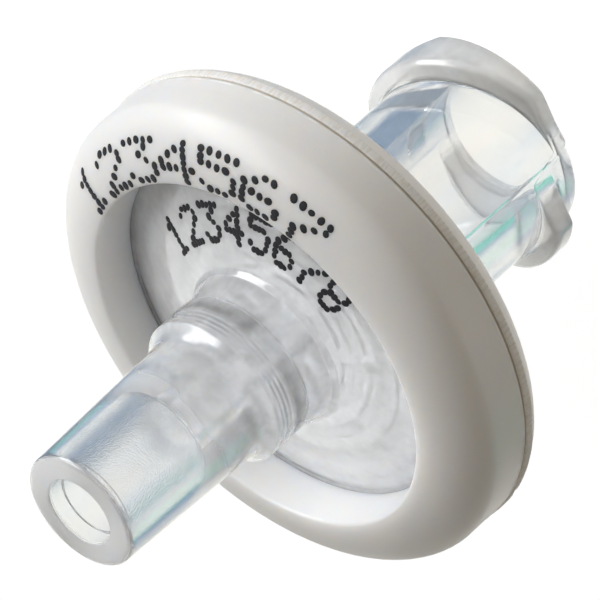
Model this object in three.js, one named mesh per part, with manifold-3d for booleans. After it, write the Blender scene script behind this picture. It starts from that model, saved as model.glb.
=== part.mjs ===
// A disposable syringe filter, 13 mm membrane class, in millimetres with +Z up.
// It stands on the flat end of its luer-lock inlet, and the luer-slip outlet points up.
// Four pieces: a clear inlet housing, a round membrane, a clear outlet housing, and
// the white ring that is moulded over both flanges and holds them together.
import * as THREE from 'three';
import { mergeVertices } from 'three/addons/utils/BufferGeometryUtils.js';
import Module from 'manifold-3d';

const wasm = await Module();
wasm.setup();

// ---- Driving dimensions -------------------------------------------------------

const overallLength = 19.64; // inlet end face to outlet tip
const ringRadius = 8.385; // over the rim band
const ringWidth = 2.265; // rim band to the edge of the clear window
const turnSteps = 48; // facets round each turned shape

// Clearances
const bondGap = 0.02; // between a moulding and what is moulded or clamped against it

// Inlet: hub with a tapered bore, and the plate at its end
const hubRadius = 3.22;
const hubEdge = 0.12; // break on the outer edge of the end face
const inletHeight = 8.2; // end face to the underside of the flange
const inletPlateDrop = 0.65; // how far the plate's cone falls from the flange to the hub
const inletFillet = 0.4; // where the hub meets the plate
const boreRadius = 2.15; // at the mouth
const boreTaper = 0.03; // radius lost per millimetre of depth: a 6 % luer taper
const boreDepth = 7.6;
const boreEdge = 0.1; // break on the bore's mouth
const inletHoleRadius = 0.75; // bore to membrane chamber

// Lugs: two right-hand lugs that share the turn between two flats at the hub's sides
const lugCount = 2;
const lugHeight = 0.63; // hub wall to lug crest
const lugStart = 59; // degrees, where the first lug leaves its flat
const lugRootStart = 1.77; // outlet-side root above the end face, at the start
const lugRootEnd = 0.55; // the same, at the run-out
const lugRootLevel = 0.3; // share of the lug in which the root stays level
const lugFlank = 0.3; // slope of the outlet side, fall over height
const lugBackStart = 0.96; // inlet side above the end face, at the start
const lugBackReach = 0.467; // share of the lug in which the inlet side comes down
const lugBackPower = 3.3; // how late it comes down
const lugEdge = 0.22; // break between the crest and the outlet side
const lugSteps = 30;

// Flanges and membrane
const ringWall = 0.865; // rim band to the flanges' edge
const inletFlange = 1.1; // thickness
const outletFlange = 0.73; // thickness
const membraneThickness = 0.15;
const membraneInset = 0.2; // window edge to membrane edge
const clampWidth = 0.5; // width of membrane that the flanges hold
const windowStep = 0.1; // window edge to the flat part of each flange

// Ribs that carry the membrane, and the channels through them
const ribDepth = 0.3;
const ribWidth = 0.4;
const ribFirst = 1.6; // middle of the first rib
const ribPitch = 0.95;
const channelCount = 8;
const channelWidth = 0.6;
const cutMargin = 0.5; // how far a cutting block stands out of what it cuts

// Outlet: plate, boss, collar and spigot, heights above the flange's upper face
const plateRise = 0.95; // window edge to the foot of the boss
const plateCrown = 0.1; // how far the plate's middle bulges over a straight cone
const bossFlare = 0.29; // boss foot beyond the collar
const bossFoot = 0.16; // break where the boss leaves the plate
const neckHeight = 2.0; // narrowest place, under the collar
const neckInset = 0.06;
const collarLow = 2.1;
const collarHigh = 3.4;
const collarStep = 0.37; // collar beyond the spigot's root
const collarGrooves = 2;
const grooveDepth = 0.05;
const grooveWidth = 0.16;
const spigotRoot = 3.7;
const spigotRadius = 2.0; // at the tip
const spigotTaper = 0.032; // radius gained per millimetre below the tip
const spigotEdge = 0.16; // rounding of the tip's outer edge
const recessRadius = 1.18; // counterbore in the tip
const recessDepth = 0.58;
const outletBoreRadius = 1.1;
const outletBoreDepth = 4.0;
const outletHoleRadius = 0.65;

// Ring: heights from the undersides and tops of the flanges
const ringLip = 0.35; // thickness under the inlet flange
const bandLow = 0.42; // rim band's lower edge above the inlet flange's underside
const bandWidth = 0.23;
const bandStep = 0.05; // height in which the band's upper edge steps in
const undersideFlat = 0.55; // width of the flat part of the ring's underside
const undersidePower = 3.2; // how the underside curves up to the band
const undersideSteps = 7;
const waistInset = 0.05;
const shoulderInset = 0.045;
const crestRise = 1.5; // above the outlet flange
const domeWidth = 1.9; // crest to the ring's shoulder
const domeHeight = 1.3;
const domePower = 1.78; // 2 would be an ellipse
const domeSteps = 9;
const innerEdge = 0.22; // rounding between crest and inner wall
const innerDraft = 0.08; // inner wall's lean

// ---- Sizes that follow from them ----------------------------------------------

const windowRadius = ringRadius - ringWidth;
const flangeRadius = ringRadius - ringWall;
const membraneRadius = windowRadius - membraneInset;
const chamberRadius = membraneRadius - clampWidth;
const jointHeight = inletHeight + inletFlange;
const outletLow = jointHeight + bondGap;
const outletTop = outletLow + outletFlange;
const membraneLow = jointHeight + bondGap;
const membraneSeat = membraneLow + membraneThickness + bondGap;
const inletFloor = jointHeight - ribDepth;
const outletFloor = membraneSeat + ribDepth;
const rootHeight = outletTop + spigotRoot;
const rootRadius = spigotRadius + spigotTaper * (overallLength - rootHeight);
const collarRadius = rootRadius + collarStep;
const bossRadius = collarRadius + bossFlare;
const plateEdge = windowRadius - windowStep;
const ringInside = windowRadius + bondGap;
const crestRadius = ringInside + innerDraft + innerEdge;
const crestHeight = outletTop + crestRise;

// ---- Turning and cutting ------------------------------------------------------

// Points on a rounded corner, from one angle to another, in degrees.
function arc(centreR, centreZ, radius, from, to, steps) {
  const points = [];
  for (let i = 0; i <= steps; i += 1) {
    const angle = THREE.MathUtils.degToRad(from + ((to - from) * i) / steps);
    points.push([centreR + radius * Math.cos(angle), centreZ + radius * Math.sin(angle)]);
  }
  return points;
}

// Turns a profile of [radius, height] round the Z axis. A profile runs up the outside
// and down the inside, and closes on itself.
function turned(profile) {
  const loop = [...profile, profile[0]];
  const points = loop.map(([r, z]) => new THREE.Vector2(r, z));
  return new THREE.LatheGeometry(points, turnSteps).rotateX(Math.PI / 2);
}

function toSolid(geometry) {
  const bare = geometry.clone();
  bare.deleteAttribute('normal');
  bare.deleteAttribute('uv');
  const merged = mergeVertices(bare);
  const mesh = new wasm.Mesh({
    numProp: 3,
    vertProperties: new Float32Array(merged.attributes.position.array),
    triVerts: new Uint32Array(merged.index.array),
  });
  return new wasm.Manifold(mesh);
}

function toGeometry(solid) {
  const mesh = solid.getMesh();
  const geometry = new THREE.BufferGeometry();
  geometry.setAttribute('position', new THREE.BufferAttribute(mesh.vertProperties, mesh.numProp));
  geometry.setIndex(new THREE.BufferAttribute(mesh.triVerts, 1));
  geometry.computeVertexNormals();
  return geometry;
}

// ---- Ribs and channels --------------------------------------------------------

function ribRadii() {
  const radii = [];
  for (let r = ribFirst; r + ribWidth < chamberRadius; r += ribPitch) {
    radii.push(r);
  }
  return radii;
}

// The teeth of the ribs along a chamber floor, from the middle outwards.
function ribTeeth(floor, tip) {
  return ribRadii().flatMap((r) => [
    [r - ribWidth / 2, floor],
    [r - ribWidth / 2, tip],
    [r + ribWidth / 2, tip],
    [r + ribWidth / 2, floor],
  ]);
}

// Channels that run out from the middle through every rib, down to the chamber floor.
function cutChannels(solid, floor, tip) {
  const length = chamberRadius - channelWidth / 2;
  const open = tip + Math.sign(tip - floor) * cutMargin;
  let result = solid;
  for (let i = 0; i < channelCount; i += 1) {
    const channel = new THREE.BoxGeometry(length, channelWidth, Math.abs(open - floor));
    channel.translate(length / 2, 0, (open + floor) / 2);
    channel.rotateZ((i * 2 * Math.PI) / channelCount);
    result = result.subtract(toSolid(channel));
  }
  return result;
}

// ---- Inlet housing ------------------------------------------------------------

function inletProfile() {
  const boreEnd = boreRadius - boreTaper * boreDepth;
  const plateFoot = inletHeight - inletPlateDrop;
  return [
    [boreRadius + boreEdge, 0],
    [hubRadius - hubEdge, 0],
    [hubRadius, hubEdge],
    ...arc(hubRadius + inletFillet, plateFoot - inletFillet, inletFillet, 180, 105, 3),
    [plateEdge, inletHeight],
    [flangeRadius, inletHeight],
    [flangeRadius, jointHeight],
    [chamberRadius, jointHeight],
    [chamberRadius, inletFloor],
    ...ribTeeth(inletFloor, jointHeight).reverse(),
    [inletHoleRadius, inletFloor],
    [inletHoleRadius, boreDepth],
    [boreEnd, boreDepth],
    [boreRadius, boreEdge],
  ];
}

// Where a lug's outer face lies at a share t of its length: on the crest circle, and near
// both ends on a flat that touches the hub.
function lugCrestRadius(t) {
  const toEnd = Math.PI * (2 / lugCount) * Math.min(t, 1 - t);
  const flat = toEnd < Math.PI / 2 ? hubRadius / Math.cos(toEnd) : Infinity;
  return Math.min(hubRadius + lugHeight, flat);
}

// The outlet side of a lug where it meets the hub: level at first, then down.
function lugRoot(t) {
  const fallen = THREE.MathUtils.smoothstep(t, lugRootLevel, 1);
  return THREE.MathUtils.lerp(lugRootStart, lugRootEnd, fallen);
}

// The inlet side of a lug: high at the start, then down to the end face.
function lugBack(t) {
  const share = Math.min(t / lugBackReach, 1);
  return lugBackStart * (1 - share ** lugBackPower);
}

// A lug is a bar bent round the hub: its length follows the turn, and its section
// runs from inside the hub's wall out to the crest.
function lug(startDegrees) {
  const bar = new THREE.BoxGeometry(1, 1, 1, lugSteps, 2, 1);
  const position = bar.attributes.position;
  const buried = (hubRadius + boreRadius) / 2;
  for (let i = 0; i < position.count; i += 1) {
    const t = position.getX(i) + 0.5;
    const layer = Math.round(2 * position.getY(i)) + 1; // 0 in the wall, 1 below the crest, 2 crest
    const isOutletSide = position.getZ(i) > 0;
    const crest = lugCrestRadius(t);
    const radius = [buried, crest - lugEdge, crest][layer];
    const edge = layer === 2 ? lugEdge : 0;
    const fall = lugFlank * (radius - hubRadius);
    const height = isOutletSide ? lugRoot(t) - fall - edge : lugBack(t);
    const angle = THREE.MathUtils.degToRad(startDegrees - (t * 360) / lugCount);
    position.setXYZ(i, radius * Math.cos(angle), radius * Math.sin(angle), height);
  }
  return bar;
}

function inletHousing() {
  let solid = toSolid(turned(inletProfile()));
  for (let i = 0; i < lugCount; i += 1) {
    solid = solid.add(toSolid(lug(lugStart + (i * 360) / lugCount)));
  }
  return toGeometry(cutChannels(solid, inletFloor, jointHeight));
}

// ---- Membrane -----------------------------------------------------------------

function membrane() {
  const geometry = new THREE.CylinderGeometry(
    membraneRadius,
    membraneRadius,
    membraneThickness,
    turnSteps,
  );
  geometry.rotateX(Math.PI / 2);
  return geometry.translate(0, 0, membraneLow + membraneThickness / 2);
}

// ---- Outlet housing -----------------------------------------------------------

// The plate rises from the window edge to the boss, a little crowned.
function outletPlate() {
  const steps = 4;
  const points = [];
  for (let i = 0; i <= steps; i += 1) {
    const share = i / steps;
    const crown = plateCrown * 4 * share * (1 - share);
    const r = THREE.MathUtils.lerp(plateEdge, bossRadius, share);
    points.push([r, outletTop + plateRise * share + crown]);
  }
  return points;
}

// Fine grooves turned into the collar, evenly spaced along it.
function collarProfile() {
  const points = [];
  const spacing = (collarHigh - collarLow) / (collarGrooves + 1);
  for (let i = 1; i <= collarGrooves; i += 1) {
    const middle = outletTop + collarLow + i * spacing;
    points.push([collarRadius, middle - grooveWidth / 2]);
    points.push([collarRadius - grooveDepth, middle]);
    points.push([collarRadius, middle + grooveWidth / 2]);
  }
  return points;
}

function spigotProfile() {
  const boreFloor = overallLength - outletBoreDepth;
  const edgeCentre = spigotRadius - spigotEdge;
  return [
    [rootRadius, rootHeight],
    [spigotRadius + spigotTaper * spigotEdge, overallLength - spigotEdge],
    ...arc(edgeCentre, overallLength - spigotEdge, spigotEdge, 30, 90, 2),
    [recessRadius, overallLength],
    [recessRadius, overallLength - recessDepth],
    [outletBoreRadius, overallLength - recessDepth],
    [outletBoreRadius, boreFloor],
    [outletHoleRadius, boreFloor],
  ];
}

function outletProfile() {
  return [
    [outletHoleRadius, outletFloor],
    ...ribTeeth(outletFloor, membraneSeat),
    [chamberRadius, outletFloor],
    [chamberRadius, membraneSeat],
    [membraneRadius + bondGap, membraneSeat],
    [membraneRadius + bondGap, outletLow],
    [flangeRadius, outletLow],
    [flangeRadius, outletTop],
    ...outletPlate(),
    [bossRadius - bossFoot, outletTop + plateRise + bossFoot],
    [collarRadius - neckInset, outletTop + neckHeight],
    [collarRadius, outletTop + collarLow],
    ...collarProfile(),
    [collarRadius, outletTop + collarHigh],
    ...spigotProfile(),
  ];
}

function outletHousing() {
  const solid = toSolid(turned(outletProfile()));
  return toGeometry(cutChannels(solid, outletFloor, membraneSeat));
}

// ---- Overmoulded ring ---------------------------------------------------------

// The ring's underside, from its flat part out and up to the rim band.
function ringUnderside() {
  const flatEnd = crestRadius + undersideFlat;
  const low = inletHeight - ringLip;
  const rise = ringLip + bandLow;
  const points = [];
  for (let i = 0; i <= undersideSteps; i += 1) {
    const share = i / undersideSteps;
    const r = THREE.MathUtils.lerp(flatEnd, ringRadius, share);
    points.push([r, low + rise * share ** undersidePower]);
  }
  return points;
}

// The ring's rounded top, from its shoulder in to the crest: a flattened quarter ellipse.
function ringDome() {
  const width = Math.min(domeWidth, ringRadius - shoulderInset - crestRadius);
  const base = crestHeight - domeHeight;
  const points = [];
  for (let i = 0; i <= domeSteps; i += 1) {
    const angle = (Math.PI / 2) * (i / domeSteps);
    const across = Math.cos(angle) ** (2 / domePower);
    const up = Math.sin(angle) ** (2 / domePower);
    points.push([crestRadius + width * across, base + domeHeight * up]);
  }
  return points;
}

function ringProfile() {
  const underside = inletHeight - ringLip;
  const bandTop = inletHeight + bandLow + bandWidth;
  const groove = flangeRadius + bondGap;
  return [
    [ringInside, inletHeight - bondGap],
    [ringInside + innerDraft, underside + innerEdge],
    [crestRadius, underside],
    ...ringUnderside(),
    [ringRadius, bandTop],
    [ringRadius - shoulderInset, bandTop + bandStep],
    [ringRadius - waistInset, (bandTop + outletTop) / 2],
    ...ringDome(),
    ...arc(crestRadius, crestHeight - innerEdge, innerEdge, 120, 180, 2),
    [ringInside, outletTop + bondGap],
    [groove, outletTop + bondGap],
    [groove, inletHeight - bondGap],
  ];
}

// ---- Assembly -----------------------------------------------------------------

const clearPlastic = { color: 0xdfe4e6, roughness: 0.25, metalness: 0 };
const whitePlastic = { color: 0xeeede9, roughness: 0.4, metalness: 0 };
const filterFabric = { color: 0xf6f6f3, roughness: 0.9, metalness: 0 };

function piece(name, geometry, look) {
  const mesh = new THREE.Mesh(geometry, new THREE.MeshStandardMaterial(look));
  mesh.name = name;
  return mesh;
}

const syringeFilter = new THREE.Group();
syringeFilter.name = 'syringe_filter';
syringeFilter.add(
  piece('inlet_housing', inletHousing(), clearPlastic),
  piece('membrane', membrane(), filterFabric),
  piece('outlet_housing', outletHousing(), clearPlastic),
  piece('overmould_ring', turned(ringProfile()), whitePlastic),
);

export default syringeFilter;
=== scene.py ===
import math

import bpy
import numpy as np
from mathutils import Matrix, Vector


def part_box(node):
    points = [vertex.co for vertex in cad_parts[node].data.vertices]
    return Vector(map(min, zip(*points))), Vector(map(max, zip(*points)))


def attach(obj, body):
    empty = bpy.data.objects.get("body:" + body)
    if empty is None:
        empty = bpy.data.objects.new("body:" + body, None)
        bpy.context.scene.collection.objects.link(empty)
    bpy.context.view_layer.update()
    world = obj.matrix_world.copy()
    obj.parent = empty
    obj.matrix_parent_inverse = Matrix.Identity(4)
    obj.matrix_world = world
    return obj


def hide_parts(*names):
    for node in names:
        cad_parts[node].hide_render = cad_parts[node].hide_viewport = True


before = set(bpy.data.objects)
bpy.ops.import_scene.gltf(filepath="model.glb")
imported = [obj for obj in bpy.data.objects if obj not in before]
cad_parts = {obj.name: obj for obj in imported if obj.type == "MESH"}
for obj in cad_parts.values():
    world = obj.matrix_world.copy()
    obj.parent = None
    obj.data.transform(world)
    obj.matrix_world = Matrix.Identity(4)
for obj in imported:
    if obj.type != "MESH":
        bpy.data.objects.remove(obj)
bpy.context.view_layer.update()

mm = 0.001
fullTurn = 2 * math.pi
scene = bpy.context.scene
print("frame loaded:", sorted(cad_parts))


def boxSizes(node):
    # radius, bottom and top of a turned node, in millimetres
    low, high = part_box(node)
    return high.x / mm, low.z / mm, high.z / mm


# lengths that the pieces share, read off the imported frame
flangeRadius, _, jointHeight = boxSizes("inlet_housing")
_, outletLow, overallLength = boxSizes("outlet_housing")
ringRadius, _, crestHeight = boxSizes("overmould_ring")
membraneRadius, membraneLow, membraneHigh = boxSizes("membrane")

fit = dict(
    bondGap=0.02,  # between two mouldings
    ringWidth=2.265,  # rim band to the edge of the clear window
    inletFlange=1.1,
    outletFlange=0.73,
    flangeEdge=0.03,
    clampWidth=0.5,  # membrane held at its edge
    windowStep=0.1,
    windowFillet=0.08,
)
inletHeight = jointHeight - fit["inletFlange"]
outletTop = outletLow + fit["outletFlange"]
windowRadius = ringRadius - fit["ringWidth"]
plateEdge = windowRadius - fit["windowStep"]
chamberRadius = membraneRadius - fit["clampWidth"]
membraneSeat = membraneHigh + fit["bondGap"]


def smoothStep(x, low, high):
    # 3s^2 - 2s^3 of the share s from low to high
    s = np.clip((x - low) / (high - low), 0, 1)
    return s * s * (3 - 2 * s)


pathRules = dict(
    sideShare=0.46,  # most of a side that one rounded corner may take
    shortest=1e-4,  # points nearer than this are one
)


def roundCorners(corners, fillets, steps):
    # Every corner P of a closed profile becomes an arc from S to E, which lie the tangent
    # length f tan(h) before and after P, where h is half the turn at P:
    # ((1-u)^2 S + 2u(1-u) cos(h) P + u^2 E) / ((1-u)^2 + 2u(1-u) cos(h) + u^2)
    before = corners - np.roll(corners, 1, axis=1)
    after = np.roll(before, -1, axis=1)
    longBefore = np.linalg.norm(before, axis=2, keepdims=True)
    longAfter = np.linalg.norm(after, axis=2, keepdims=True)
    cosTurn = (before * after).sum(axis=2, keepdims=True) / (longBefore * longAfter)
    half = np.arccos(np.clip(cosTurn, -1, 1)) / 2
    most = pathRules["sideShare"] * np.minimum(longBefore, longAfter)
    reach = np.minimum(fillets[..., None] * np.tan(half), most)
    start = (corners - before / longBefore * reach)[:, :, None]
    end = (corners + after / longAfter * reach)[:, :, None]
    middle = corners[:, :, None]
    u = np.linspace(0, 1, steps)[None, None, :, None]
    pull = 2 * u * (1 - u) * np.cos(half)[:, :, None]
    path = (1 - u) ** 2 * start + pull * middle + u**2 * end
    path = (path / ((1 - u) ** 2 + pull + u**2)).reshape(len(corners), -1, 2)
    gap = np.linalg.norm(path - np.roll(path, 1, axis=1), axis=2).max(axis=0)
    return path[:, gap > pathRules["shortest"]]


def evenSteps(path, longest):
    # Each stretch from P to Q is cut into equal parts: P + share (Q - P)
    ahead = np.roll(path, -1, axis=1) - path
    cuts = np.ceil(np.linalg.norm(ahead, axis=2).max(axis=0) / longest).astype(int)
    cuts = np.maximum(cuts, 1)
    row = np.repeat(np.arange(len(cuts)), cuts)
    share = (np.arange(cuts.sum()) - np.repeat(np.cumsum(cuts) - cuts, cuts)) / cuts[row]
    return path[:, row] + share[None, :, None] * ahead[:, row]


def closedPath(table, size):
    # Corners (radius, height, fillet) as the radius and height of one closed path
    rounded = roundCorners(table[..., :2], table[..., 2], size["filletSteps"])
    path = evenSteps(rounded, size["step"])
    return path[..., 0], path[..., 1]


def allRound(corners, size):
    # Angles, and the same closed path at each of them
    angles = np.linspace(0, fullTurn, size["columns"], endpoint=False)
    path = closedPath(np.array(corners, float)[None], size)
    radius, height = (np.repeat(values, len(angles), axis=0) for values in path)
    return angles, radius, height


def meshFrom(name, spots, faces):
    # Vertices and faces of one size go in as whole arrays
    corners = faces.shape[1]
    mesh = bpy.data.meshes.new(name)
    mesh.vertices.add(len(spots))
    mesh.vertices.foreach_set("co", spots.astype(np.float32).ravel())
    mesh.loops.add(faces.size)
    mesh.loops.foreach_set("vertex_index", faces.astype(np.int32).ravel())
    mesh.polygons.add(len(faces))
    mesh.polygons.foreach_set("loop_start", np.arange(len(faces), dtype=np.int32) * corners)
    mesh.polygons.foreach_set("use_smooth", np.ones(len(faces), bool))
    mesh.update(calc_edges=True)
    mesh.validate()
    piece = bpy.data.objects.new(name, mesh)
    scene.collection.objects.link(piece)
    return piece


def turnedMesh(name, radius, height, angles):
    # x = r cos a, y = r sin a, z = h on a grid of angles a and profile rows, closed both ways
    turn = angles[:, None]
    spots = np.stack([radius * np.cos(turn), radius * np.sin(turn), height], axis=-1) * mm
    here = np.arange(radius.size).reshape(radius.shape)
    aside = np.roll(here, -1, axis=0)
    quads = [here, aside, np.roll(aside, -1, axis=1), np.roll(here, -1, axis=1)]
    return meshFrom(name, spots.reshape(-1, 3), np.stack(quads, axis=-1).reshape(-1, 4))


# ribs on both chamber floors
ribs = dict(
    depth=0.3,
    width=0.4,
    first=1.6,
    pitch=0.95,
    round=0.05,
    channels=8,
    channelWidth=0.6,
    channelSlope=0.04,
    channelLeft=0.04,  # share of a rib's height that a channel leaves
    channelFrom=1,
    channelGap=0.2,  # to the chamber's wall
    wallEdge=0.04,
    wallFillet=0.06,
)


def ribTeeth(floor, tip):
    # Square teeth along a chamber floor, from the middle outwards
    middles = np.arange(ribs["first"], chamberRadius - ribs["width"], ribs["pitch"])
    half = ribs["width"] / 2
    return [
        (r + side, z, ribs["round"])
        for r in middles
        for side, z in ((-half, floor), (-half, tip), (half, tip), (half, floor))
    ]


def cutChannels(radius, height, angles, floor, tip):
    # Ribs keep the share s of their height: 1, and near 0 where r |sin(a - channel)| is small
    spacing = fullTurn / ribs["channels"]
    toChannel = (angles[:, None] + spacing / 2) % spacing - spacing / 2
    aside = radius * np.abs(np.sin(toChannel))
    half, slope, left = ribs["channelWidth"] / 2, ribs["channelSlope"], ribs["channelLeft"]
    kept = left + (1 - left) * smoothStep(aside, half - slope, half + slope)
    slack = 1e-6
    onRib = (height > min(floor, tip) - slack) & (height < max(floor, tip) + slack)
    onRib &= (radius > ribs["channelFrom"]) & (radius < chamberRadius - ribs["channelGap"])
    return np.where(onRib, floor + (height - floor) * kept, height)


# inlet housing: luer-lock hub, inlet plate, flange
inlet = dict(
    hubRadius=3.22,
    hubEdge=0.12,
    hubPlain=2.6,  # above the lugs
    boreRadius=2.15,
    boreTaper=0.03,
    boreDepth=7.6,
    boreEdge=0.1,
    boreFillet=0.16,
    holeRadius=0.75,
    holeEdges=(0.1, 0.08),  # at the chamber and in the bore
    plateDrop=0.65,
    fillet=0.4,
    lugHeight=0.63,
    leastLug=0.004,
    lugStart=59,  # degrees
    lugFlat=1.3,  # radians of flat at each end, at most
    lugBlend=0.05,
    rootStart=1.77,
    rootEnd=0.55,
    rootLevel=0.3,
    rootFillet=0.05,
    flank=0.3,
    backStart=0.96,
    backReach=0.467,
    backPower=3.3,
    backFillet=0.04,
    lugEdge=0.28,  # crest to outlet side, at most
    edgeShare=0.7,
    leastEdge=0.01,
    lugCorner=0.06,  # crest to inlet side
    # where a lug's back lies on the end face: heights, hub's inset, step and sharper edge
    flushBack=(0.02, 0.2),
    flushInset=0.1,
    flushStep=0.06,
    flushSharp=0.8,
    # between the lugs the rows slide along the plain hub
    joinShare=0.02,
    joinRoot=1.2,
    joinBack=0.5,
    # parting line
    seamHeight=0.025,
    seamWidth=0.07,
    seamStart=(0.1, 0.4),
    seamEnd=(6.9, 7.2),
    seamSkin=0.02,
    seamColumns=(-2.4, -1.6, -1, -0.5, 0, 0.5, 1, 1.6, 2.4),  # degrees
    seamClear=0.45,
    columns=240,
    filletSteps=5,
    step=0.17,
)


def lugShare(angles):
    # 0 to 1 along each of the two lugs, against the turn
    return ((math.radians(inlet["lugStart"]) - angles) % math.pi) / math.pi


def softMin(a, b, blend):
    # The smaller of a and b, with the corner between them rounded
    return (a + b - np.sqrt((a - b) ** 2 + blend**2)) / 2


def lugCorners(angles):
    # The section of hub and lug at each angle, as five corners from the end face up. The
    # crest lies at hub / cos(e) near a lug's ends, e being the angle to the end, and is level
    # in between. The root falls by a smooth step, and the back by share^p.
    hub = inlet["hubRadius"]
    t = lugShare(angles)
    toEnd = math.pi * np.minimum(t, 1 - t)
    flat = hub / np.cos(np.minimum(toEnd, inlet["lugFlat"]))
    crest = softMin(flat, hub + inlet["lugHeight"], inlet["lugBlend"])
    crest = np.maximum(crest, hub + inlet["leastLug"])
    fall = smoothStep(t, inlet["rootLevel"], 1)
    root = inlet["rootStart"] + (inlet["rootEnd"] - inlet["rootStart"]) * fall
    share = np.minimum(t / inlet["backReach"], 1)
    back = inlet["backStart"] * (1 - share ** inlet["backPower"])
    join = smoothStep(np.minimum(t, 1 - t), 0, inlet["joinShare"])
    root = inlet["joinRoot"] + (root - inlet["joinRoot"]) * join
    back = inlet["joinBack"] + (back - inlet["joinBack"]) * join
    flush = 1 - smoothStep(back, *inlet["flushBack"])
    hubEdge = inlet["hubEdge"] * (1 - inlet["flushSharp"] * flush)
    lugEdge = np.minimum(inlet["lugEdge"], inlet["edgeShare"] * (crest - hub) + inlet["leastEdge"])
    zero = np.zeros_like(t)
    corners = [
        (hub - inlet["flushInset"] * flush, zero, hubEdge),
        (hub + inlet["flushStep"] * flush, back, inlet["backFillet"] + zero),
        (crest, back, inlet["lugCorner"] + zero),
        (crest, root - inlet["flank"] * (crest - hub), lugEdge),
        (hub + zero, root, inlet["rootFillet"] + zero),
    ]
    return np.stack([np.stack(corner, axis=-1) for corner in corners], axis=1)


def inletAngles():
    # Even steps, with a few more columns on both parting lines
    even = np.linspace(0, fullTurn, inlet["columns"], endpoint=False)
    seam = math.radians(inlet["lugStart"]) + np.array([0, math.pi])
    extra = (seam[:, None] + np.radians(inlet["seamColumns"])).ravel() % fullTurn
    apart = np.abs((even[:, None] - extra + math.pi) % fullTurn - math.pi).min(axis=1)
    return np.sort(np.concatenate([even[apart > math.radians(inlet["seamClear"])], extra]))


def buildInlet():
    angles = inletAngles()
    floor = jointHeight - ribs["depth"]
    boreEnd = inlet["boreRadius"] - inlet["boreTaper"] * inlet["boreDepth"]
    plain = [
        (inlet["hubRadius"], inlet["hubPlain"], 0),
        (inlet["hubRadius"], inletHeight - inlet["plateDrop"], inlet["fillet"]),
        (plateEdge, inletHeight, fit["windowFillet"]),
        (flangeRadius, inletHeight, fit["flangeEdge"]),
        (flangeRadius, jointHeight, fit["flangeEdge"]),
        (chamberRadius, jointHeight, ribs["wallEdge"]),
        (chamberRadius, floor, ribs["wallFillet"]),
        *ribTeeth(floor, jointHeight - fit["bondGap"])[::-1],
        (inlet["holeRadius"], floor, inlet["holeEdges"][0]),
        (inlet["holeRadius"], inlet["boreDepth"], inlet["holeEdges"][1]),
        (boreEnd, inlet["boreDepth"], inlet["boreFillet"]),
        (inlet["boreRadius"], 0, inlet["boreEdge"]),
    ]
    plain = np.broadcast_to(np.array(plain, float), (len(angles), len(plain), 3))
    radius, height = closedPath(np.concatenate([lugCorners(angles), plain], axis=1), inlet)
    # parting line: a ridge h exp(-(d / w)^2) up the hub, d being the distance from the line
    fromSeam = angles[:, None] - math.radians(inlet["lugStart"])
    fromSeam = (fromSeam + math.pi / 2) % math.pi - math.pi / 2
    along = smoothStep(height, *inlet["seamStart"]) * (1 - smoothStep(height, *inlet["seamEnd"]))
    outside = smoothStep(radius, inlet["hubRadius"] - inlet["seamSkin"], inlet["hubRadius"])
    ridge = inlet["seamHeight"] * np.exp(-((fromSeam * radius / inlet["seamWidth"]) ** 2))
    radius = radius + ridge * along * outside
    height = cutChannels(radius, height, angles, floor, jointHeight)
    return turnedMesh("inlet_moulding", radius, height, angles)


inletPiece = buildInlet()
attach(inletPiece, "root")
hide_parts("inlet_housing")
print("inlet moulding:", len(inletPiece.data.polygons), "faces")


# outlet housing: outlet plate, boss with collar, luer-slip spigot
outlet = dict(
    plateRise=0.95,
    plateCrown=0.1,
    plateSteps=12,
    seatFillet=0.02,
    bossFlare=0.29,
    bossFoot=0.16,
    bossEdge=0.12,
    bossFillet=0.1,
    neckHeight=2.0,
    neckInset=0.06,
    neckFillet=0.12,
    collarLow=2.1,
    collarHigh=3.4,
    collarStep=0.37,
    collarEdges=(0.06, 0.12),
    collarSkin=(0.05, 0.01),
    # fine ridges round the collar
    ridges=4,
    ridgeRows=25,
    ridgePitch=0.17,
    ridgeHeight=0.016,
    ridgeWidth=0.05,
    ridgeInset=0.1,
    spigotRoot=3.7,
    spigotRadius=2.0,
    spigotTaper=0.032,
    spigotEdge=0.16,
    rootFillet=0.7,
    recessRadius=1.18,
    recessDepth=0.58,
    recessEdge=0.05,
    recessFillet=0.03,
    boreRadius=1.1,
    boreDepth=4.0,
    boreFillet=0.3,
    holeRadius=0.65,
    holeEdges=(0.08, 0.1),  # at the chamber and in the bore
    columns=224,
    filletSteps=6,
    step=0.16,
)
rootHeight = outletTop + outlet["spigotRoot"]
rootRadius = outlet["spigotRadius"] + outlet["spigotTaper"] * (overallLength - rootHeight)
collarRadius = rootRadius + outlet["collarStep"]
bossRadius = collarRadius + outlet["bossFlare"]


def plateHeight(radius):
    # A cone that bulges by 4 c s (1 - s), s being the share of the way in to the boss
    s = (plateEdge - radius) / (plateEdge - bossRadius)
    return outletTop + outlet["plateRise"] * s + outlet["plateCrown"] * 4 * s * (1 - s)


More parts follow.
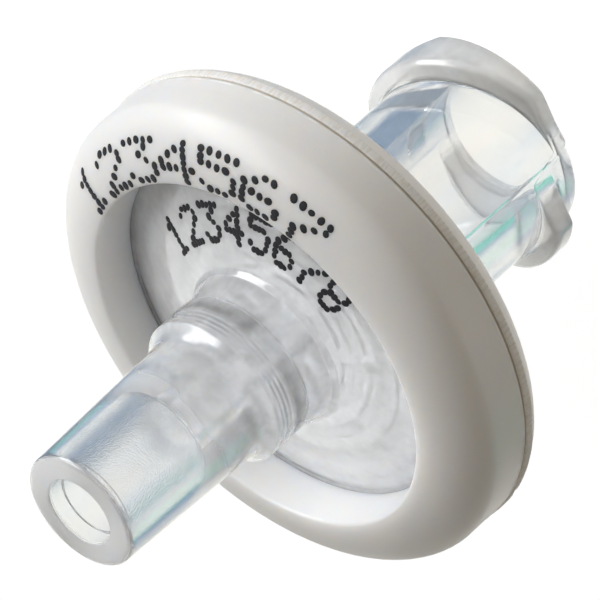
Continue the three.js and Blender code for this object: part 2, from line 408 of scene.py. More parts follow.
def buildOutlet():
    floor = membraneSeat + ribs["depth"]
    seatRadius = membraneRadius + fit["bondGap"]
    top = outletTop + outlet["plateRise"]
    plate = np.linspace(plateEdge, bossRadius, outlet["plateSteps"])[1:-1]
    neckRadius, neckTop = collarRadius - outlet["neckInset"], outletTop + outlet["neckHeight"]
    collarLow, collarHigh = outletTop + outlet["collarLow"], outletTop + outlet["collarHigh"]
    ridgeHigh = collarHigh - outlet["ridgeInset"]
    ridgeLow = ridgeHigh - outlet["ridges"] * outlet["ridgePitch"]
    ridgeRows = np.linspace(ridgeLow, ridgeHigh, outlet["ridgeRows"])
    recessFloor = overallLength - outlet["recessDepth"]
    boreFloor = overallLength - outlet["boreDepth"]
    angles, radius, height = allRound([
        (outlet["holeRadius"], floor, outlet["holeEdges"][0]),
        *ribTeeth(floor, membraneSeat + fit["bondGap"]),
        (chamberRadius, floor, ribs["wallFillet"]),
        (chamberRadius, membraneSeat, ribs["wallEdge"]),
        (seatRadius, membraneSeat, outlet["seatFillet"]),
        (seatRadius, outletLow, fit["flangeEdge"]),
        (flangeRadius, outletLow, fit["flangeEdge"]),
        (flangeRadius, outletTop, fit["flangeEdge"]),
        (plateEdge, outletTop, fit["windowFillet"]),
        *[(r, plateHeight(r), 0) for r in plate],
        (bossRadius, top, outlet["bossEdge"]),
        (bossRadius - outlet["bossFoot"], top + outlet["bossFoot"], outlet["bossFillet"]),
        (neckRadius, neckTop, outlet["neckFillet"]),
        (collarRadius, collarLow, outlet["collarEdges"][0]),
        *[(collarRadius, z, 0) for z in ridgeRows],
        (collarRadius, collarHigh, outlet["collarEdges"][1]),
        (rootRadius, rootHeight, outlet["rootFillet"]),
        (outlet["spigotRadius"], overallLength, outlet["spigotEdge"]),
        (outlet["recessRadius"], overallLength, outlet["recessEdge"]),
        (outlet["recessRadius"], recessFloor, outlet["recessFillet"]),
        (outlet["boreRadius"], recessFloor, outlet["recessFillet"]),
        (outlet["boreRadius"], boreFloor, outlet["boreFillet"]),
        (outlet["holeRadius"], boreFloor, outlet["holeEdges"][1]),
    ], outlet)
    # each ridge on the collar takes h exp(-(d / w)^2) off the radius
    ridgeAt = ridgeLow + (np.arange(outlet["ridges"]) + 0.5) * outlet["ridgePitch"]
    away = (height[..., None] - ridgeAt) / outlet["ridgeWidth"]
    onCollar = smoothStep(radius, *(collarRadius - skin for skin in outlet["collarSkin"]))
    radius -= outlet["ridgeHeight"] * np.exp(-(away**2)).sum(axis=-1) * onCollar
    height = cutChannels(radius, height, angles, floor, membraneSeat)
    return turnedMesh("outlet_moulding", radius, height, angles)


outletPiece = buildOutlet()
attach(outletPiece, "root")
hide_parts("outlet_housing")
print("outlet moulding:", len(outletPiece.data.polygons), "faces")


disc = dict(
    columns=160,
    rows=40,
    edge=0.03,
    edgeRows=5,
    wrinkle=0.004,
    wavesRound=3,
    wavesOut=2.1,
)


def buildDisc():
    # The membrane, closed at its two middle points: rows of rings from the lower middle out,
    # round the edge and back to the upper middle, at middle + l h + w sin(n a + r) sin(k r)
    angles = np.linspace(0, fullTurn, disc["columns"], endpoint=False)[:, None]
    inner = membraneRadius - disc["edge"]
    out = np.linspace(0, 1, disc["rows"] + 1)[1:] * inner
    middle, half = (membraneLow + membraneHigh) / 2, (membraneHigh - membraneLow) / 2
    bend = np.radians(np.linspace(-90, 90, disc["edgeRows"] + 2))[1:-1]
    radius = np.concatenate([out, inner + disc["edge"] * np.cos(bend), out[::-1]])
    level = np.concatenate([-np.ones_like(out), np.sin(bend), np.ones_like(out)])
    sag = np.sin(disc["wavesRound"] * angles + radius) * np.sin(radius * disc["wavesOut"])
    height = middle + level * (half - disc["wrinkle"]) + disc["wrinkle"] * sag
    spots = np.stack([radius * np.cos(angles), radius * np.sin(angles), height], axis=-1)
    poles = np.array([[0, 0, middle - half], [0, 0, middle + half]])
    here = np.arange(height.size).reshape(height.shape)
    aside = np.roll(here, -1, axis=0)
    below, above = np.full(len(here), here.size), np.full(len(here), here.size + 1)
    faces = np.concatenate([
        np.stack([here[:, :-1], aside[:, :-1], aside[:, 1:]], axis=-1).reshape(-1, 3),
        np.stack([here[:, :-1], aside[:, 1:], here[:, 1:]], axis=-1).reshape(-1, 3),
        np.stack([below, aside[:, 0], here[:, 0]], axis=-1),
        np.stack([above, here[:, -1], aside[:, -1]], axis=-1),
    ])
    return meshFrom("filter_disc", np.concatenate([spots.reshape(-1, 3), poles]) * mm, faces)


discPiece = buildDisc()
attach(discPiece, "root")
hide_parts("membrane")
print("membrane:", len(discPiece.data.polygons), "faces")


# overmoulded ring
ring = dict(
    lip=0.35,
    edge=0.02,
    innerEdge=0.22,
    innerDraft=0.08,
    innerFillet=0.03,
    bandLow=0.42,
    bandWidth=0.23,
    bandEdge=0.03,
    bandSkin=(0.03, 0.005),
    grooveDepth=0.1,  # thin groove above the band
    grooveFloor=(0.03, 0.07),
    grooveFillet=0.01,
    # torn edge of plastic above the groove, which comes and goes with the angle
    flash=0.04,
    flashRise=0.17,
    flashWidth=0.025,
    flashSpan=0.06,
    flashRows=7,
    flashSkin=(0.06, 0.05),
    flashWaves=((23, 2, 7), (61, 1.3)),
    undersideFlat=0.55,
    undersidePower=3.2,
    undersideRows=10,
    waistInset=0.05,
    waistFillet=0.5,
    shoulderInset=0.045,
    domeWidth=1.9,
    domeHeight=1.3,
    domePower=1.78,
    domeRows=28,
    hatches=300,  # fine slanting lines on the band
    hatchSlant=14,
    hatchDepth=0.03,
    # angle in degrees, depth and width
    nicks=((-171.5, 0.03, 0.5), (-148, 0.04, 0.8), (-99, 0.025, 0.5), (37, 0.02, 0.4)),
    nickTaper=3,
    columns=840,
    filletSteps=5,
    step=0.4,
)
ringInside = windowRadius + fit["bondGap"]
draftRadius = ringInside + ring["innerDraft"]
crestRadius = draftRadius + ring["innerEdge"]
bandBottom = inletHeight + ring["bandLow"]
bandTop = bandBottom + ring["bandWidth"]
flashHeight = bandTop + ring["flashRise"]


def domeLine(low, high, rows):
    # Flattened quarter ellipse: r = c + w cos(t)^(2/p), z = b + h sin(t)^(2/p), t in degrees
    turn = np.radians(np.linspace(low, high, rows))
    power = 2 / ring["domePower"]
    width = min(ring["domeWidth"], ringRadius - ring["shoulderInset"] - crestRadius)
    r = crestRadius + width * np.cos(turn) ** power
    z = crestHeight - ring["domeHeight"] + ring["domeHeight"] * np.sin(turn) ** power
    return np.stack([r, z], axis=-1)


def ringCorners():
    # Underside: out in even steps, up by share^p. Then band, groove, torn edge, dome, inside
    low, high = inletHeight - fit["bondGap"], outletTop + fit["bondGap"]
    foot = inletHeight - ring["lip"]
    flatEnd = crestRadius + ring["undersideFlat"]
    share = np.linspace(0, 1, ring["undersideRows"])[:-1]
    rise = (bandBottom - foot) * share ** ring["undersidePower"]
    under = zip(flatEnd + (ringRadius - flatEnd) * share, foot + rise)
    grooveRadius = ringRadius - ring["grooveDepth"]
    flash = flashHeight + np.linspace(-1, 1, ring["flashRows"]) * ring["flashSpan"]
    inside = flangeRadius + fit["bondGap"]
    return [
        (ringInside, low, ring["edge"]),
        (draftRadius, foot, ring["innerEdge"]),
        *[(r, z, 0) for r, z in under],
        (ringRadius, bandBottom, ring["bandEdge"]),
        (ringRadius, bandTop, ring["bandEdge"]),
        *[(grooveRadius, bandTop + z, ring["grooveFillet"]) for z in ring["grooveFloor"]],
        *[(ringRadius - ring["shoulderInset"], z, 0) for z in flash],
        (ringRadius - ring["waistInset"], (bandTop + outletTop) / 2, ring["waistFillet"]),
        *[(r, z, 0) for r, z in domeLine(0, 90, ring["domeRows"])[:-1]],
        (crestRadius, crestHeight, 0),
        (draftRadius, crestHeight, ring["innerEdge"]),
        (ringInside, high, ring["edge"]),
        (inside, high, ring["innerFillet"]),
        (inside, low, ring["innerFillet"]),
    ]


def buildRing():
    angles, radius, height = allRound(ringCorners(), ring)
    a = angles[:, None]
    onBand = smoothStep(radius, *(ringRadius - skin for skin in ring["bandSkin"]))
    # band: slanting lines d (1 + cos(n a + k z)) / 2 deep, and a few nicks
    lines = 0.5 + 0.5 * np.cos(ring["hatches"] * a + ring["hatchSlant"] * height)
    radius -= ring["hatchDepth"] * lines * onBand
    # torn edge: a ridge f exp(-(d / w)^2) times 0.5 + sin(p a + q sin(s a)) sin(t a + u)
    (fast, swing, slow), (other, phase) = ring["flashWaves"]
    torn = 0.5 + np.sin(fast * a + swing * np.sin(slow * a)) * np.sin(other * a + phase)
    onWall = smoothStep(radius, *(ringRadius - skin for skin in ring["flashSkin"]))
    ridge = np.exp(-(((height - flashHeight) / ring["flashWidth"]) ** 2))
    radius += ring["flash"] * np.clip(torn, 0, 1) * ridge * onWall
    for place, depth, width in ring["nicks"]:
        away = (a - math.radians(place) + math.pi) % fullTurn - math.pi
        dip = np.exp(-((away * ringRadius / width * ring["nickTaper"]) ** 2))
        radius -= depth * dip * onBand
    return turnedMesh("rim_moulding", radius, height, angles)


ringPiece = buildRing()
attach(ringPiece, "root")
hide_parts("overmould_ring")
print("ring:", len(ringPiece.data.polygons), "faces")


# printed numbers: plain digits, each seven rows of five ink dots
digitRows = {
    "1": "00100 01100 00100 00100 00100 00100 01110",
    "2": "01110 10001 00001 00010 00100 01000 11111",
    "3": "11111 00010 00100 00010 00001 10001 01110",
    "4": "00010 00110 01010 10010 11111 00010 00010",
    "5": "11111 10000 11110 00001 00001 10001 01110",
    "6": "00110 01000 10000 11110 10001 10001 01110",
    "7": "11111 00001 00010 00100 01000 01000 01000",
    "8": "01110 10001 10001 01110 10001 10001 01110",
}
# first and last in degrees, width and height of a digit, radius of a dot
rimPrint = dict(text="1234567", first=97, last=15, width=1.3, height=1.24, dot=0.13, seed=3)
platePrint = dict(text="12345678", first=92, last=-4, width=0.66, height=1.12, dot=0.118, seed=5)
dots = dict(
    around=12,
    rings=((1.0, -0.012), (1.0, 0.002), (0.72, 0.008)),  # share of the radius, height
    top=0.01,
    sizes=(0.86, 1.14),
    wobble=0.1,
    scatter=0.012,
    plateFoot=3.73,  # radius at the digits' inner side
    plateMargin=0.1,
    domeFoot=5,  # degrees up the dome from its outer side
    samples=200,
)


def buildPrint(name, size, line):
    # Each dot is a flat lens on the surface that the line S(run) turned round the axis gives:
    # S + u T + v W + h N, u and v round a circle, T along the line, W round it, N = T x W
    rng = np.random.default_rng(size["seed"])
    grids = [[list(map(int, row)) for row in digitRows[digit].split()] for digit in size["text"]]
    letter, row, column = np.nonzero(np.array(grids))
    count = len(row)
    along = size["height"] * (1 - row / 6) + rng.normal(0, dots["scatter"], count)
    run = np.concatenate([[0], np.cumsum(np.linalg.norm(np.diff(line, axis=0), axis=1))])
    slope = np.gradient(line, run, axis=0)
    r, z, tr, tz = (np.interp(along, run, values) for values in (*line.T, *slope.T))
    middle = size["first"] + (size["last"] - size["first"]) * letter / (len(size["text"]) - 1)
    shift = (2 - column) / 4 * size["width"] + rng.normal(0, dots["scatter"], count)
    # 0 degrees faces -Y, and the angle grows towards +X
    turn = np.radians(middle - 90) + shift / (line[0, 0] + size["height"] / 2)
    cosTurn, sinTurn = np.cos(turn), np.sin(turn)
    spot = np.stack([r * cosTurn, r * sinTurn, z], axis=-1)
    outward = np.stack([tr * cosTurn, tr * sinTurn, tz], axis=-1)
    aside = np.stack([-sinTurn, cosTurn, np.zeros(count)], axis=-1)
    normal = np.cross(outward, aside)
    n = dots["around"]
    around = np.linspace(0, fullTurn, n, endpoint=False)
    reach = size["dot"] * rng.uniform(*dots["sizes"], (count, 1))
    wobble = dots["wobble"] * np.sin(2 * around + rng.uniform(0, 6, (count, 1)))
    reach = (reach * (1 + wobble))[:, None]
    share, lift = np.array(dots["rings"]).T[..., None]
    u, v = reach * share * np.cos(around), reach * share * np.sin(around)
    rims = (
        spot[:, None, None]
        + u[..., None] * outward[:, None, None]
        + v[..., None] * aside[:, None, None]
        + lift[..., None] * normal[:, None, None]
    )
    tips = spot[:, None] + dots["top"] * normal[:, None]
    feet = spot[:, None] + lift[0] * normal[:, None]
    spots = np.concatenate([rims.reshape(count, -1, 3), tips, feet], axis=1)
    here = np.arange(n)
    ahead = (here + 1) % n
    one = []
    for low in (0, n):
        one.append(np.stack([low + here, low + ahead, low + n + ahead], axis=-1))
        one.append(np.stack([low + here, low + n + ahead, low + n + here], axis=-1))
    one.append(np.stack([2 * n + here, 2 * n + ahead, np.full(n, 3 * n)], axis=-1))
    one.append(np.stack([ahead, here, np.full(n, 3 * n + 1)], axis=-1))
    faces = np.concatenate(one) + spots.shape[1] * np.arange(count)[:, None, None]
    return meshFrom(name, spots.reshape(-1, 3) * mm, faces.reshape(-1, 3))


plateRadii = np.linspace(dots["plateFoot"], plateEdge - dots["plateMargin"], dots["samples"])
plateLine = np.stack([plateRadii, plateHeight(plateRadii)], axis=-1)
rimInk = buildPrint("rim_numbers", rimPrint, domeLine(90, dots["domeFoot"], dots["samples"]))
plateInk = buildPrint("plate_numbers", platePrint, plateLine)
for ink in (rimInk, plateInk):
    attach(ink, "root")
print("print:", len(rimInk.data.polygons) + len(plateInk.data.polygons), "faces")


def addNode(tree, kind, inputs=None, **settings):
    # Inputs, by name or number, are plain values or other nodes' outputs
    node = tree.nodes.new("ShaderNode" + kind)
    for setting, value in settings.items():
        setattr(node, setting, value)
    for socket, value in (inputs or {}).items():
        if isinstance(value, bpy.types.NodeSocket):
            tree.links.new(value, node.inputs[socket])
        else:
            node.inputs[socket].default_value = value
    return node


def emptyTree(owner):
    owner.use_nodes = True
    owner.node_tree.nodes.clear()
    return owner.node_tree


def newMaterial(name):
    material = bpy.data.materials.new(name)
    tree = emptyTree(material)
    return material, tree, addNode(tree, "TexCoord").outputs["Object"]


def opaque(colour):
    return (*colour, 1)


def noiseNode(tree, place, scale, detail=2, rough=0.5, stretch=(1, 1, 1)):
    # Noise whose grains are 1 / scale metres apart, longer along an axis with a small stretch
    mapped = addNode(tree, "Mapping", {"Vector": place, "Scale": stretch}).outputs[0]
    inputs = {"Vector": mapped, "Scale": scale, "Detail": detail, "Roughness": rough}
    return addNode(tree, "TexNoise", inputs).outputs["Fac"]


def mathNode(tree, operation, a, b=0):
    return addNode(tree, "Math", {0: a, 1: b}, operation=operation).outputs[0]


def rangeNode(tree, value, span, to=(0, 1)):
    # a smooth step over the span
    inputs = {"Value": value, "From Min": span[0], "From Max": span[1]}
    inputs.update({"To Min": to[0], "To Max": to[1]})
    return addNode(tree, "MapRange", inputs, interpolation_type="SMOOTHSTEP").outputs[0]


def blendNode(tree, share, first, second):
    return addNode(tree, "Mix", {0: share, 2: first, 3: second}).outputs[0]


def tintNode(tree, share, first, second):
    # sockets 6 and 7 and output 2 are the ones for colours
    return addNode(tree, "Mix", {0: share, 6: first, 7: second}, data_type="RGBA").outputs[2]


def colourRamp(tree, value, positions, colours):
    node = addNode(tree, "ValToRGB", {0: value})
    elements = node.color_ramp.elements
    elements[0].position, elements[1].position = positions[0], positions[-1]
    elements[0].color, elements[1].color = opaque(colours[0]), opaque(colours[-1])
    for position, colour in zip(positions[1:-1], colours[1:-1]):
        elements.new(position).color = opaque(colour)
    return node.outputs[0]


def bumpNode(tree, height, size, after=None):
    # size is the strength and the distance in metres
    inputs = {"Height": height, "Strength": size[0], "Distance": size[1]}
    if after is not None:
        inputs["Normal"] = after
    return addNode(tree, "Bump", inputs).outputs[0]


def mixShaders(tree, share, first, second):
    return addNode(tree, "MixShader", {0: share, 1: first, 2: second}).outputs[0]


def plainSurface(tree, inputs):
    shader = addNode(tree, "BsdfPrincipled", inputs)
    addNode(tree, "OutputMaterial", {"Surface": shader.outputs[0]})


def radiusOf(tree, place):
    # distance from the axis, and height, in metres
    parts = addNode(tree, "SeparateXYZ", {0: place}).outputs
    squares = [mathNode(tree, "MULTIPLY", parts[i], parts[i]) for i in (0, 1)]
    return mathNode(tree, "SQRT", mathNode(tree, "ADD", *squares)), parts[2]


def metres(span, start=0):
    # both ends of a span in millimetres, measured from a start
    return tuple((start + end) * mm for end in span)


clearLook = dict(
    # streaks along the axis in the hub and spigot, and the even tint of the rest
    tint=(
        (0.84, 0.90, 0.975),
        (0.93, 0.95, 0.98),
        (0.965, 0.967, 0.97),
        (0.98, 0.965, 0.955),
        (0.985, 0.972, 0.92),
    ),
    tintStops=(0.3, 0.42, 0.5, 0.58, 0.7),
    plateTint=(0.973, 0.984, 1.0),
    # each part's least and most clearness, the rest being milky, and its roughness
    hub=(0.925, 0.965, 0.05),
    lug=(0.30, 0.42, 0.20),
    plate=(0.50, 0.61, 0.05),
    root=(0.70, 0.84, 0.16),
    spigot=(0.925, 0.965, 0.03),
    bore=(0.925, 0.965, 0.16),
    tip=(0.55, 0.65, 0.30),
    # spans over which one part's look becomes the next one's
    lugRise=(0.02, 0.2),  # above the hub
    lugTop=(4, 5),
    plateFrom=(7.2, 8.4),
    rootFrom=(10.6, 11.4),
    spigotFrom=(15.2, 15.9),
    boreRadius=(1.16, 1.25),
    tipFrom=(19.5, 19.62),
    streaks=dict(scale=700, detail=3, rough=0.55, stretch=(1, 1, 0.22)),
    clouds=dict(scale=750, detail=3, rough=0.6),
    cloudSpan=(0.35, 0.65),
    grains=dict(scale=17000, rough=0.6),
    grainsElsewhere=0.02,  # outside the bore
    waveBump=(0.25, 0.00002),
    grainBump=(0.6, 0.00003),
    milkiness=0.9,
    depth=0.001,  # how far light spreads in the milky share, in metres
    coatRoughness=0.03,
    ior=1.49,
    passed=(0.85, 0.85, 0.855),  # lamp light that each surface lets through
)


def clearMaterial():
    material, tree, place = newMaterial("natural_polypropylene")
    radius, height = radiusOf(tree, place)
    streaks = noiseNode(tree, place, **clearLook["streaks"])
    clouds = noiseNode(tree, place, **clearLook["clouds"])
    grains = noiseNode(tree, place, **clearLook["grains"])

    def along(axis, span, to=(0, 1)):
        return rangeNode(tree, axis, metres(span), to)

    beyondHub = rangeNode(tree, radius, metres(clearLook["lugRise"], inlet["hubRadius"]))
    onLug = mathNode(tree, "MULTIPLY", beyondHub, along(height, clearLook["lugTop"], (1, 0)))
    onPlate = along(height, clearLook["plateFrom"])
    onSpigot = along(height, clearLook["spigotFrom"])
    inBore = mathNode(tree, "MULTIPLY", along(radius, clearLook["boreRadius"], (1, 0)), onSpigot)
    # from the hub upward, and then what differs at one height
    least, most, rough = clearLook["hub"]
    for part, share in (
        ("lug", onLug),
        ("plate", onPlate),
        ("root", along(height, clearLook["rootFrom"])),
        ("spigot", onSpigot),
        ("bore", inBore),
        ("tip", along(height, clearLook["tipFrom"])),
    ):
        least, most, rough = (
            blendNode(tree, share, before, number)
            for before, number in zip((least, most, rough), clearLook[part])
        )
    spread = rangeNode(tree, clouds, clearLook["cloudSpan"])
    onHub = along(height, clearLook["plateFrom"], (1, 0))
    streaky = mathNode(tree, "MAXIMUM", onHub, onSpigot)
    streakTint = colourRamp(tree, streaks, clearLook["tintStops"], clearLook["tint"])
    onGrains = mathNode(tree, "ADD", inBore, clearLook["grainsElsewhere"])
    wave = bumpNode(tree, streaks, clearLook["waveBump"])
    grained = mathNode(tree, "MULTIPLY", grains, onGrains)
    shader = addNode(tree, "BsdfPrincipled", {
        "Base Color": tintNode(tree, streaky, opaque(clearLook["plateTint"]), streakTint),
        "Roughness": rough,
        "IOR": clearLook["ior"],
        "Normal": bumpNode(tree, grained, clearLook["grainBump"], wave),
        "Subsurface Weight": clearLook["milkiness"],
        "Subsurface Radius": (1, 1, 1),
        "Subsurface Scale": clearLook["depth"],
        "Transmission Weight": blendNode(tree, spread, least, most),
        "Coat Weight": 1,
        "Coat Roughness": clearLook["coatRoughness"],
        "Coat IOR": clearLook["ior"],
    })
    # lamps shine through it onto what is behind
    thinned = addNode(tree, "BsdfTransparent", {"Color": opaque(clearLook["passed"])})
    towardsLamp = addNode(tree, "LightPath").outputs["Is Shadow Ray"]
    surface = mixShaders(tree, towardsLamp, shader.outputs[0], thinned.outputs[0])
    addNode(tree, "OutputMaterial", {"Surface": surface})
    return material


ringLook = dict(
    colours=((0.925, 0.922, 0.915), (0.955, 0.952, 0.945)),
    colourStops=(0.3, 0.65),
    roughness=(0.29, 0.38),
    roughSpan=(0.3, 0.7),
    clouds=dict(scale=190, detail=3),
    fine=dict(scale=2600),
    fineBump=(0.12, 0.00001),
    lipGlowColour=(0.99, 0.988, 0.982),  # painted glow: a lighter colour on the thin inner edge, standing in for the light that passes through it
    lipGlowWidth=0.5,
    # fine marks on the band, which reaches from a little below it to a little above
    wornColour=(0.84, 0.82, 0.78),
    marks=dict(scale=11000, rough=0.7, stretch=(1, 1, 0.2)),
    markSpan=(0.44, 0.62),
    bandBelow=(-0.03, 0),
    bandAbove=(0.1, 0.13),
    bandRoughness=0.6,
    # painted shade: a dark warm colour deep in the thin groove above the band
    grooveShadeColour=(0.62, 0.58, 0.52),
    grooveShadeSpan=(-0.09, -0.05),  # from the rim
    subsurface=1.0,
    depth=0.0005,  # how far light spreads inside, in metres
    spreadByColour=(1.0, 0.90, 0.76),
    ior=1.49,
)


def ringMaterial():
    material, tree, place = newMaterial("white_polypropylene")
    radius, height = radiusOf(tree, place)
    clouds = noiseNode(tree, place, **ringLook["clouds"])
    fine = noiseNode(tree, place, **ringLook["fine"])
    marks = noiseNode(tree, place, **ringLook["marks"])
    band = mathNode(
        tree, "MULTIPLY",
        rangeNode(tree, height, metres(ringLook["bandBelow"], bandBottom)),
        rangeNode(tree, height, metres(ringLook["bandAbove"], bandTop), (1, 0)),
    )
    worn = mathNode(tree, "MULTIPLY", band, rangeNode(tree, marks, ringLook["markSpan"]))
    # painted shade: darker deep in the groove beside the band
    outOfGrooveShade = rangeNode(tree, radius, metres(ringLook["grooveShadeSpan"], ringRadius))
    offBand = mathNode(tree, "SUBTRACT", 1, band)
    # painted glow: the thin inner edge near the crest is lighter, for the light that shines
    # through it
    pastLipGlow = rangeNode(tree, radius, metres((0, ringLook["lipGlowWidth"]), crestRadius))
    colour = colourRamp(tree, clouds, ringLook["colourStops"], ringLook["colours"])
    for share, other in (
        (mathNode(tree, "SUBTRACT", 1, worn), "wornColour"),
        (mathNode(tree, "MAXIMUM", outOfGrooveShade, offBand), "grooveShadeColour"),
        (pastLipGlow, "lipGlowColour"),
    ):
        colour = tintNode(tree, share, opaque(ringLook[other]), colour)
    plainRough = rangeNode(tree, clouds, ringLook["roughSpan"], ringLook["roughness"])
    bandRough = mathNode(tree, "MULTIPLY", band, ringLook["bandRoughness"])
    plainSurface(tree, {
        "Base Color": colour,
        "Roughness": mathNode(tree, "MAXIMUM", plainRough, bandRough),
        "IOR": ringLook["ior"],
        "Normal": bumpNode(tree, fine, ringLook["fineBump"]),
        "Subsurface Weight": ringLook["subsurface"],
        "Subsurface Radius": ringLook["spreadByColour"],
        "Subsurface Scale": ringLook["depth"],
    })
    return material


discLook = dict(
    fibres=dict(scale=5200, detail=4, rough=0.7),
    colours=((0.88, 0.885, 0.89), (0.93, 0.93, 0.925)),
    span=(0.3, 0.7),
    roughness=(0.75, 0.95),
    bump=(0.4, 0.00002),
)
inkLook = dict(
    blots=dict(scale=6000, detail=3),
    colours=((0.006, 0.006, 0.008), (0.018, 0.018, 0.022)),
    colourStops=(0.3, 0.75),
    span=(0.3, 0.7),
    roughness=(0.45, 0.65),
    bump=(0.3, 0.00001),
    specular=0.25,
)


def discMaterial():
    material, tree, place = newMaterial("filter_membrane")
    fibres = noiseNode(tree, place, **discLook["fibres"])
    plainSurface(tree, {
        "Base Color": colourRamp(tree, fibres, discLook["span"], discLook["colours"]),
        "Roughness": rangeNode(tree, fibres, discLook["span"], discLook["roughness"]),
        "Normal": bumpNode(tree, fibres, discLook["bump"]),
    })
    return material


def inkMaterial():
    material, tree, place = newMaterial("black_ink")
    blots = noiseNode(tree, place, **inkLook["blots"])
    plainSurface(tree, {
        "Base Color": colourRamp(tree, blots, inkLook["colourStops"], inkLook["colours"]),
        "Roughness": rangeNode(tree, blots, inkLook["span"], inkLook["roughness"]),
        "Specular IOR Level": inkLook["specular"],
        "Normal": bumpNode(tree, blots, inkLook["bump"]),
    })
    return material


clearPlastic, blackInk = clearMaterial(), inkMaterial()
for piece, material in (
    (inletPiece, clearPlastic),
    (outletPiece, clearPlastic),
    (discPiece, discMaterial()),
    (ringPiece, ringMaterial()),
    (rimInk, blackInk),
    (plateInk, blackInk),
):
    piece.data.materials.append(material)
print("materials set")


stageLook = dict(
    floorSide=1.2,
    floorColour=(0.86, 0.83, 0.78),
    floorShown=0.86,
    floorGlow=1.12,
    # light from either side along x, y and z: what lights the piece, and what mirrors and
    # glass show
    fill=(
        ((0.19, 0.17, 0.14), (0.24, 0.245, 0.25)),
        ((0.21, 0.19, 0.155), (0.24, 0.245, 0.25)),
        ((0.12, 0.11, 0.09), (0.07, 0.045, 0.015)),
    ),
    mirrored=(
        ((0.86, 0.89, 0.89), (0.50, 0.58, 0.66)),
        ((0.82, 0.81, 0.79), (1.0, 1.0, 0.94)),
        ((1.0, 1.0, 0.95), (0.92, 0.93, 0.94)),
    ),
    # cards stood round the piece: direction, cosine of their edge and of full colour, colour
    cards=(
        ((0.85, 0.25, -0.42), (0.55, 0.80), (0.21, 0.31, 0.44)),
        ((-0.90, 0.10, -0.42), (0.84, 0.94), (0.45, 0.54, 0.66)),
        ((-0.90, 0.22, -0.38), (0.955, 0.985), (0.22, 0.72, 0.60)),
    ),
    keyDirection=(0.86, -0.03, 0.50),
    keyStrength=3.2,  # light on a facing surface, where pi shows a colour as it is written
    keySize=(0.2, 0.46),
    keyColour=(0.985, 0.992, 1.0),
    keyAim=(0, 0, 0.01),
    keyDistance=0.4,
)


def mirrorRays(tree, path):
    return mathNode(tree, "MAXIMUM", path["Is Glossy Ray"], path["Is Transmission Ray"])


def buildFloor():
    # The camera sees it white with a soft shadow; mirrors and glass see past it to the studio
    side = stageLook["floorSide"]
    spots = np.array([[-side, -side, 0], [side, -side, 0], [side, side, 0], [-side, side, 0]])
    floor = meshFrom("floor", spots, np.array([[0, 1, 2, 3]]))
    material = bpy.data.materials.new("floor_white")
    tree = emptyTree(material)
    path = addNode(tree, "LightPath").outputs
    matte = addNode(tree, "BsdfDiffuse", {"Color": opaque(stageLook["floorColour"])})
    glow = addNode(tree, "Emission", {"Strength": stageLook["floorGlow"]})
    clear = addNode(tree, "BsdfTransparent")
    share = mathNode(tree, "MULTIPLY", path["Is Camera Ray"], stageLook["floorShown"])
    shown = mixShaders(tree, share, matte.outputs[0], glow.outputs[0])
    surface = mixShaders(tree, mirrorRays(tree, path), shown, clear.outputs[0])
    addNode(tree, "OutputMaterial", {"Surface": surface})
    floor.data.materials.append(material)


def vectorNode(tree, operation, inputs):
    return addNode(tree, "VectorMath", inputs, operation=operation).outputs


def cubeColour(tree, direction, colours):
    # Colour from six sides: x^2 X + y^2 Y + z^2 Z, each taken from the side that it points to
    squares = vectorNode(tree, "MULTIPLY", {0: direction, 1: direction})[0]
    shares = addNode(tree, "SeparateXYZ", {0: squares}).outputs
    signs = addNode(tree, "SeparateXYZ", {0: direction}).outputs
    total = (0, 0, 0)
    for share, sign, (below, above) in zip(shares, signs, colours):
        ahead = mathNode(tree, "GREATER_THAN", sign, 0)
        side = tintNode(tree, ahead, opaque(below), opaque(above))
        scaled = vectorNode(tree, "SCALE", {0: side, "Scale": share})[0]
        total = vectorNode(tree, "ADD", {0: total, 1: scaled})[0]
    return total


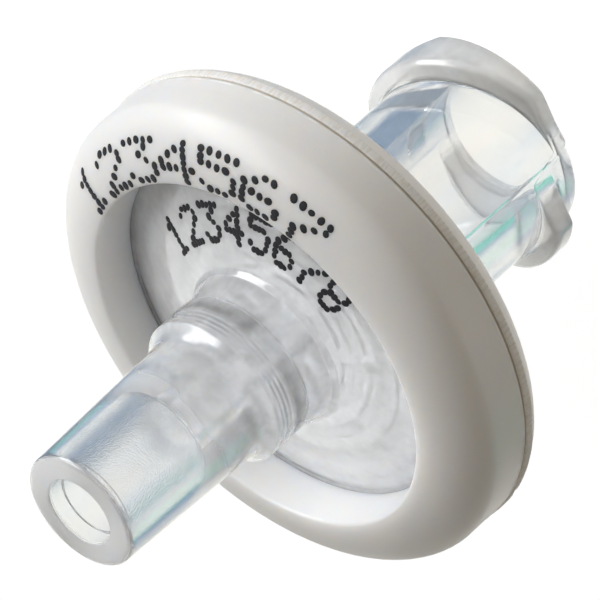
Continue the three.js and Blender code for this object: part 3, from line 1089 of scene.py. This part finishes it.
def buildWorld():
    world = bpy.data.worlds.new("studio")
    scene.world = world
    tree = emptyTree(world)
    direction = addNode(tree, "TexCoord").outputs["Generated"]
    path = addNode(tree, "LightPath").outputs

    def shade(colour):
        return addNode(tree, "Background", {"Color": colour}).outputs[0]

    fill, studio = (
        shade(cubeColour(tree, direction, stageLook[name])) for name in ("fill", "mirrored")
    )
    for middle, span, colour in stageLook["cards"]:
        middle = Vector(middle).normalized()
        toCard = vectorNode(tree, "DOT_PRODUCT", {0: direction, 1: middle})["Value"]
        studio = mixShaders(tree, rangeNode(tree, toCard, span), studio, shade(opaque(colour)))
    seen = mixShaders(tree, mirrorRays(tree, path), fill, studio)
    seen = mixShaders(tree, path["Is Camera Ray"], seen, shade((1, 1, 1, 1)))
    addNode(tree, "OutputWorld", {"Surface": seen})


def buildLamp():
    away = Vector(stageLook["keyDirection"]).normalized()
    distance = stageLook["keyDistance"]
    data = bpy.data.lights.new("key", "AREA")
    data.shape, (data.size, data.size_y) = "RECTANGLE", stageLook["keySize"]
    data.energy = stageLook["keyStrength"] * math.pi * distance**2
    data.color = stageLook["keyColour"]
    lamp = bpy.data.objects.new("key", data)
    lamp.location = Vector(stageLook["keyAim"]) + away * distance
    lamp.rotation_euler = away.to_track_quat("Z", "Y").to_euler()
    scene.collection.objects.link(lamp)


cameraSetting = dict(
    azimuth=-0.084,
    elevation=31.2505,
    roll=-131.796,
    distance=265.743,
    aim=(0.333, 0.0, 9.039),
    lens=528.0,
    sensor=36.0,
    clip=(0.01, 10),
)


def buildCamera():
    data = bpy.data.cameras.new("camera")
    data.lens, data.sensor_width = cameraSetting["lens"], cameraSetting["sensor"]
    data.clip_start, data.clip_end = cameraSetting["clip"]
    camera = bpy.data.objects.new("camera", data)
    a, e = (math.radians(cameraSetting[angle]) for angle in ("azimuth", "elevation"))
    back = Vector((math.sin(a) * math.cos(e), -math.cos(a) * math.cos(e), math.sin(e)))
    camera.location = (Vector(cameraSetting["aim"]) + back * cameraSetting["distance"]) * mm
    upright = back.to_track_quat("Z", "Y").to_matrix()
    roll = Matrix.Rotation(math.radians(cameraSetting["roll"]), 3, "Z")
    camera.rotation_euler = (upright @ roll).to_euler()
    scene.collection.objects.link(camera)
    scene.camera = camera


buildFloor()
buildWorld()
buildLamp()
buildCamera()
scene.view_settings.view_transform = "Standard"
print("stage set")
